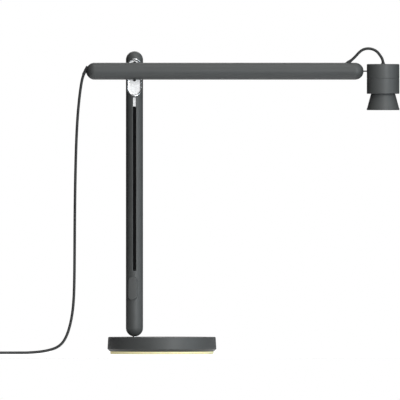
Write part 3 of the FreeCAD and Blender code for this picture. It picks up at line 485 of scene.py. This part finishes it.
power_relief = sleeve(
    "power_strain_relief", POWER_EXIT - POWER_WAY * 7 * MM, POWER_WAY,
    [(0.01, 0.0), (3.0, 0.0), (3.0, 7.2), (2.86, 8.2), (2.5, 15.6), (2.36, 16.0), (0.01, 16.0)],
    ribs=(9.2, 10.8, 12.4, 14.0), depth=0.22, replaced=("power_gland",))
loop_relief = sleeve(
    "loop_strain_relief", LOOP_EXIT - LOOP_WAY * 7 * MM, LOOP_WAY,
    [(0.01, 0.0), (3.0, 0.0), (3.0, 5.6), (2.8, 6.6), (2.45, 10.6), (2.34, 11.0), (0.01, 11.0)],
    ribs=(7.4, 8.9), depth=0.2, replaced=("loop_gland",))
head_relief = sleeve(
    "head_strain_relief", HEAD_ENTRY - Vector((0, 0, 6)) * MM, (0, 0, 1),
    [(0.01, 0.0), (3.2, 0.0), (3.2, 5.0), (3.75, 5.02), (3.8, 5.4), (3.6, 5.9), (2.9, 6.2), (2.45, 8.4),
     (2.3, 8.8), (0.01, 8.8)],
    ribs=(7.2,), depth=0.15, body="head", replaced=("head_gland",))

# The plug-in supply: a rounded housing with a parting line, grip grooves and a raised face for the pins.
ADAPTER_X, ADAPTER_Z = -332.0, 13.0
ADAPTER_HALF, ADAPTER_TALL = 17.0, 13.0
ADAPTER_FRONT, ADAPTER_BACK = 28.0, 72.0
PARTING_DEPTH = 0.35
GRIP_GROOVES = (36.0, 39.4, 42.8, 46.2)


def rounded_rect(half_x, half_z, corner, y, groove=0.0):
    """A ring round the supply at depth y, with a fine line where its two halves meet."""
    ring = []
    steps = 9
    for sx, sz, start in ((1, 1, 0), (-1, 1, 90), (-1, -1, 180), (1, -1, 270)):
        for i in range(steps):
            a = math.radians(start + 90 * i / (steps - 1))
            x = sx * (half_x - corner) + corner * math.cos(a)
            ring.append([x, sz * (half_z - corner) + corner * math.sin(a)])
    out = []
    for (x, z), (nx, nz) in zip(ring, ring[1:] + ring[:1]):
        out.append((x, z))
        if abs(x - nx) < 1e-6 and abs(z - nz) > 4:
            side = 1 if x > 0 else -1
            upward = -1 if nz > z else 1
            for at in (0.5, 0.25, 0.0, -0.25, -0.5):
                cut = PARTING_DEPTH * (1 - abs(at) / 0.5)
                out.append((x - side * cut, at * upward))
    wide, tall = 1 - groove / half_x, 1 - groove / half_z
    return [Vector((ADAPTER_X + x * wide, y, ADAPTER_Z + z * tall)) * MM for x, z in out]


def adapter_rings():
    """The supply's rings: a rounded front edge, grip grooves, and a back edge round the pins' face."""
    rings = []
    edge, back_edge = 2.4, 1.4
    for i in range(7):
        a = math.radians(90 * i / 6)
        inset = edge * (1 - math.sin(a))
        rings.append(rounded_rect(ADAPTER_HALF - inset, ADAPTER_TALL - inset, 5.0 - inset * 0.6,
                                  ADAPTER_FRONT + edge * (1 - math.cos(a))))
    for middle in GRIP_GROOVES:
        for offset, cut in ((-0.9, 0.0), (-0.6, 0.35), (0.0, 0.6), (0.6, 0.35), (0.9, 0.0)):
            rings.append(rounded_rect(ADAPTER_HALF, ADAPTER_TALL, 5.0, middle + offset, cut))
    for i in range(7):
        a = math.radians(90 * i / 6)
        inset = back_edge * (1 - math.cos(a))
        rings.append(rounded_rect(ADAPTER_HALF - inset, ADAPTER_TALL - inset, 5.0 - inset * 0.6,
                                  ADAPTER_BACK - edge + back_edge * math.sin(a)))
    rings.append(rounded_rect(ADAPTER_HALF - 3.2, ADAPTER_TALL - 3.2, 4.0, ADAPTER_BACK - 1.0))
    rings.append(rounded_rect(ADAPTER_HALF - 3.6, ADAPTER_TALL - 3.6, 4.0, ADAPTER_BACK))
    return rings


adapter = dress(loft("supply_housing", adapter_rings(), sharp_deg=32.0), "column", "black_plastic",
                "adapter_body")
adapter_relief = sleeve(
    "supply_strain_relief", Vector((-336.0, ADAPTER_FRONT + 0.6, 9.0)) * MM, (0, -1, 0),
    [(0.01, 0.0), (4.3, 0.0), (4.3, 1.6), (3.9, 2.4), (2.7, 26.4), (2.5, 27.0), (0.01, 27.0)],
    ribs=tuple(4.2 + 2.1 * i for i in range(10)), depth=0.7, body="column", replaced=("adapter_relief",))


def pin(x):
    """One round pin of the supply."""
    outline = [(0.01, 0.0), (2.0, 0.0), (2.0, 15.6), (1.7, 16.5), (1.0, 17.0), (0.01, 17.0)]
    return lathe("supply_pin", outline, Vector((x, ADAPTER_BACK, ADAPTER_Z)) * MM, (0, 1, 0), 32)


def merged(name, *objs):
    """One piece from several meshes."""
    points, faces = [], []
    for o in objs:
        start = len(points)
        points += [v.co.copy() for v in o.data.vertices]
        faces += [tuple(start + i for i in p.vertices) for p in o.data.polygons]
    for o in objs:
        bpy.data.objects.remove(o)
    return mesh_piece(name, points, faces)


adapter_pins = dress(merged("supply_pins", pin(-341.5), pin(-322.5)), "column", "plug_brass", "adapter_pins")


def coil_strap():
    """A woven strap round the coil's turns, lapped over itself on top."""
    angle = math.radians(40)
    out = Vector((math.cos(angle), math.sin(angle), 0))
    along = Vector((-math.sin(angle), math.cos(angle), 0))
    middle = Vector((COIL_X, COIL_Y, 0)) + out * 25.25
    low, high, half, corner = 0.55, 10.5, 9.45, 2.2
    half_width, half_thick = 4.5, 0.35
    centre_z = (low + high) / 2
    tall = (high - low) / 2
    loop = []
    for sx, sz, start in ((1, 1, 0), (-1, 1, 90), (-1, -1, 180), (1, -1, 270)):
        for i in range(7):
            a = math.radians(start + 90 * i / 6)
            nx, nz = math.cos(a), math.sin(a)
            x = sx * (half - corner) + corner * nx
            z = centre_z + sz * (tall - corner) + corner * nz
            loop.append((x, z, nx, nz))
    rings = []
    for x, z, nx, nz in loop:
        ring = []
        for w, t in ((-1, -1), (-0.9, -1), (0.9, -1), (1, -1), (1, 1), (0.9, 1), (-0.9, 1), (-1, 1)):
            point = middle + out * (x + nx * t * half_thick) + along * (w * half_width)
            ring.append((point + Vector((0, 0, z + nz * t * half_thick))) * MM)
        rings.append(ring)
    band = loft("band", rings, closed=True)
    tab = []
    for i in range(9):
        x = -6.5 + 12.0 * i / 8
        lift = high + half_thick + 0.36 + (0.5 * (i / 8) ** 3)
        ring = []
        narrow = 1.0 if i < 7 else (0.92, 0.72)[i - 7]
        for w, t in ((-1, -1), (1, -1), (1, 1), (-1, 1)):
            point = middle + out * x + along * (w * half_width * narrow)
            ring.append((point + Vector((0, 0, lift + t * 0.3))) * MM)
        tab.append(ring)
    return merged("coil_strap", band, loft("tab", tab))


strap = coil_strap()
strap.data.materials.append(woven(finish_of("strap_weave", (0.03, 0.03, 0.033), 0.85, grain=(3000.0, 0.00008),
                                            mottle=0.2, Sheen_Weight=0.4), 700.0, 0.00012))
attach(strap, "column")


def foam_pad():
    """The foam foot: a disc of soft foam whose cut edge bulges and wavers a little."""
    outline = [(0.01, 0.0), (70.0, 0.0), (83.7, 0.0), (84.6, 0.25), (85.15, 0.8), (85.4, 1.7), (85.4, 2.6),
               (85.2, 3.5), (84.8, 4.0), (83.9, 4.17), (70.0, 4.19), (0.01, 4.19)]
    cut_edge, swing_size, widest = 75.0, 0.05, 85.6
    phases = np.random.default_rng(7).uniform(0, 2 * math.pi, 8)

    def waver(index, angle, radius):
        if radius < cut_edge:
            return radius
        swing = sum(math.sin((5 + 4 * k) * angle + p) / (1 + k) for k, p in enumerate(phases))
        return min(radius + swing_size * swing, widest)

    return lathe("foot_foam_pad", outline, (0, 0, 0), sides=180, shape=waver, sharp_deg=50.0)


foam = dress(foam_pad(), "base", "foot_foam", "foot_pad")


def socket_screw(name, base, head_radius, head_length, shank_radius, shank_length):
    """A cap screw with a six-sided socket; its axis runs along +Y from the head's face."""
    across = 1.45
    outline = [(0.01, 1.1), (0.5, 1.1), (across, 1.0), (across, 0.12), (across + 0.16, 0.0),
               (head_radius - 0.45, 0.0), (head_radius - 0.12, 0.14), (head_radius, 0.5),
               (head_radius, head_length - 0.1), (head_radius - 0.1, head_length), (shank_radius, head_length)]
    height = head_length
    while height < head_length + shank_length - 0.6:
        outline += [(shank_radius, height + 0.05), (shank_radius - 0.22, height + 0.28)]
        height += 0.5
    outline += [(shank_radius - 0.3, head_length + shank_length), (0.01, head_length + shank_length)]

    def shape(index, angle, radius):
        if index in (2, 3, 4):
            sector = (angle + math.pi / 6) % (math.pi / 3) - math.pi / 6
            return radius / math.cos(sector) * 0.93
        return radius

    return lathe(name, outline, base, (0, 1, 0), 60, shape, sharp_deg=30.0)


cup_low, cup_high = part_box("cup_screws")
column_x = (cup_low.x + cup_high.x) / 2
screw_front = cup_low.y
screw_levels = (452.8 * MM, 480.4 * MM)
dress(merged("cup_cap_screws", *[
    socket_screw(f"screw{i}", Vector((column_x, screw_front, level)), 2.75, 1.9, 1.58, shank)
    for i, (level, shank) in enumerate(zip(screw_levels, (7.6, 11.0)))
]), "column", "black_steel", "cup_screws")


def prism_lens():
    """The lens: a flat inner face and rings of shallow prisms on the outer one."""
    low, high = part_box("lens")
    centre = (low + high) / 2
    radius = (high.x - low.x) / 2 / MM
    outline = [(0.01, 0.0)]
    pitch, depth = 1.1, 0.32
    steps = int((radius - 1.6) / pitch)
    for i in range(steps):
        outline += [(0.2 + i * pitch, 0.0), (0.2 + (i + 0.92) * pitch, depth)]
    outline += [(radius - 1.0, 0.0), (radius - 0.15, 0.0), (radius, 0.15), (radius, 1.85),
                (radius - 0.15, 2.0), (0.01, 2.0)]
    return lathe("prism_lens", outline, Vector((centre.x, centre.y, low.z)), sides=96, sharp_deg=12.0)


dress(prism_lens(), "head", "frosted_lens", "lens")


def coil_spring():
    """The strut's coil spring, wound from wire; its turns lie a little closer near both ends."""
    low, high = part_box("balance_spring")
    axis = (low + high) / 2
    wire = 0.7 * MM
    mean = (high.x - low.x) / 2 - wire
    turns, closed, points_a_turn = 15, 0.9, 18
    length = high.z - low.z - 2 * wire
    line = []
    for i in range(turns * points_a_turn + 1):
        share = i / (turns * points_a_turn)
        rise = share - (closed / turns / (2 * math.pi)) * math.sin(2 * math.pi * share)
        angle = 2 * math.pi * turns * share
        line.append(Vector((axis.x + mean * math.cos(angle), axis.y + mean * math.sin(angle),
                            low.z + wire + length * rise)))
    return tube("strut_spring", line, wire, 12)


spring = dress(coil_spring(), None, "bright_steel", "balance_spring")

BUTTON_TURN = math.radians(13)
BUTTON_WAY = Vector((-math.sin(BUTTON_TURN), -math.cos(BUTTON_TURN), 0))
BUTTON_AXIS = Vector((-45.3, 0.0, 108.2)) * MM      # on the column's axis, at the button's height


def press_dome():
    """The rubber dome behind the button: a foot ring, a thin skirt and a solid crown."""
    outline = [(0.01, 0.0), (3.9, 0.0), (4.45, 0.05), (4.5, 0.3), (4.5, 0.9), (4.3, 1.2), (3.6, 2.6),
               (3.05, 3.6), (2.95, 4.5), (2.7, 4.7), (1.2, 4.7), (1.0, 4.55), (0.01, 4.55)]
    foot = BUTTON_AXIS + BUTTON_WAY * 4.2 * MM
    return lathe("button_cushion", outline, foot, BUTTON_WAY, 36, sharp_deg=50.0)


cushion = dress(press_dome(), None, "black_rubber", "button_dome")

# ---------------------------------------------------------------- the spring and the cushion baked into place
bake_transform(spring)
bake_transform(cushion)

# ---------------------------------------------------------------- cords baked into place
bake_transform(supply_cord)
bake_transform(loop_lead)

# ---------------------------------------------------------------- studio
FLOOR_RADIUS = 620.0        # mm
FLOOR_GLOW = 0.8


def plain_floor():
    """A pale round floor with a softly turned edge."""
    outline = [(0.01, -2.0), (FLOOR_RADIUS - 3, -2.0), (FLOOR_RADIUS, -1.2), (FLOOR_RADIUS - 3, -0.2),
               (FLOOR_RADIUS - 12, 0.0), (0.01, 0.0)]
    floor = lathe("floor", outline, (0, 0, -0.0002), sides=160)
    made = finish_of(
        "floor_paint", (0.86, 0.87, 0.88), 0.8, grain=(300.0, 0.00002), mottle=0.008, spread=0.04)
    bsdf = made.node_tree.nodes["Principled BSDF"]
    bsdf.inputs["Emission Color"].default_value = (1.0, 1.0, 1.0, 1.0)
    bsdf.inputs["Emission Strength"].default_value = FLOOR_GLOW
    bsdf.inputs["Specular IOR Level"].default_value = 0.1
    floor.data.materials.append(made)
    floor.visible_diffuse = False


plain_floor()

# The white world is seen by the camera only, so it lights nothing.
world = bpy.data.worlds.new("studio")
world.use_nodes = True
background = world.node_tree.nodes["Background"]
background.inputs["Color"].default_value = (1.0, 1.0, 1.0, 1.0)
background.inputs["Strength"].default_value = 1.0
scene.world = world
world.cycles_visibility.diffuse = False
world.cycles_visibility.glossy = False
world.cycles_visibility.transmission = False


LAMP_MIDDLE = Vector((0.06, 0.0, 0.25))


def softbox(name, azimuth, elevation, distance, width, height, power, colour):
    """An area light aimed at the lamp's middle; azimuth 0 is in front, and 90 is on the head's side."""
    data = bpy.data.lights.new(name, "AREA")
    data.shape = "RECTANGLE"
    data.size = width
    data.size_y = height
    data.energy = power
    data.color = colour
    light = bpy.data.objects.new(name, data)
    scene.collection.objects.link(light)
    a, e = math.radians(azimuth), math.radians(elevation)
    back = Vector((math.sin(a) * math.cos(e), -math.cos(a) * math.cos(e), math.sin(e)))
    light.location = LAMP_MIDDLE + back * distance
    light.rotation_mode = "QUATERNION"
    light.rotation_quaternion = (-back).to_track_quat("-Z", "Y")
    light.visible_camera = False


softbox("key", 27, 25, 4.6, 0.8, 4.2, 88.0, (1.0, 0.995, 0.975))
softbox("side_key", 64, 14, 4.6, 1.2, 3.6, 43.0, (0.8, 0.91, 1.0))
softbox("front_card", -6, 1, 3.0, 1.5, 1.7, 6.2, (1.0, 1.0, 1.0))
softbox("crown_card", -4, 20, 3.0, 1.6, 0.6, 7.5, (1.0, 1.0, 1.0))
softbox("low_front", 24, 2, 5.0, 2.0, 0.5, 55.0, (0.9, 0.955, 1.0))
softbox("under_fill", 34, -24, 3.6, 2.1, 1.2, 11.0, (0.84, 0.92, 1.0))
softbox("top", 30, 80, 2.0, 1.6, 1.6, 13.0, (1.0, 0.995, 0.98))
softbox("back_fill", 178, 30, 3.0, 2.0, 2.0, 26.0, (1.0, 1.0, 1.0))
